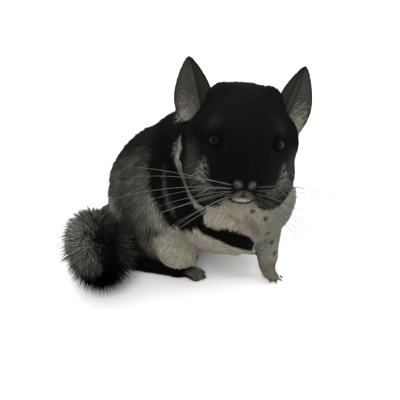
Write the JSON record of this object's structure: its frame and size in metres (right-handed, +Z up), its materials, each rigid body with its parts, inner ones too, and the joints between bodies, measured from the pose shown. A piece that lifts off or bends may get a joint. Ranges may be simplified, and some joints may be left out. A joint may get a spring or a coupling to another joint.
{
  "type": "chinchilla",
  "caption": "Life-size still model of a dark pied chinchilla squatting on the floor, head turned to its right, one forepaw tucked up, bushy tail curled beside it.",
  "frame": {"origin": "centre of the bottom of the animal's box, on the floor that its soles lie on", "axes": "+Z up; the trunk's length runs along Y with the chest towards -Y; the animal's left side is +X"},
  "size_m": [0.1432, 0.174, 0.1367],
  "materials": {
    "dark_fur": "soft dense fur, nearly black",
    "grey_fur": "soft dense fur, mottled charcoal and grey",
    "pale_fur": "short soft fur, beige white",
    "brush_hair": "long coarse hair, dark with grey tips",
    "ear_skin": "thin skin with fine hairs",
    "eye": "wet and glossy",
    "whisker": "stiff pale hair on a dark pad"
  },
  "bodies": {
    "root": {"head": "dark_fur", "neck": "grey_fur", "torso": "grey_fur", "haunch_left": "grey_fur", "haunch_right": "grey_fur", "hind_foot_left": "pale_fur", "hind_foot_right": "pale_fur", "foreleg_left": "pale_fur", "foreleg_right": "dark_fur", "forepaw_left": "pale_fur", "forepaw_right": "dark_fur", "tail_base": "dark_fur", "tail_brush": "brush_hair", "ear_left": "ear_skin", "ear_right": "ear_skin", "eye_left": "eye", "eye_right": "eye", "whiskers_left": "whisker", "whiskers_right": "whisker"}
  },
  "joints": []
}
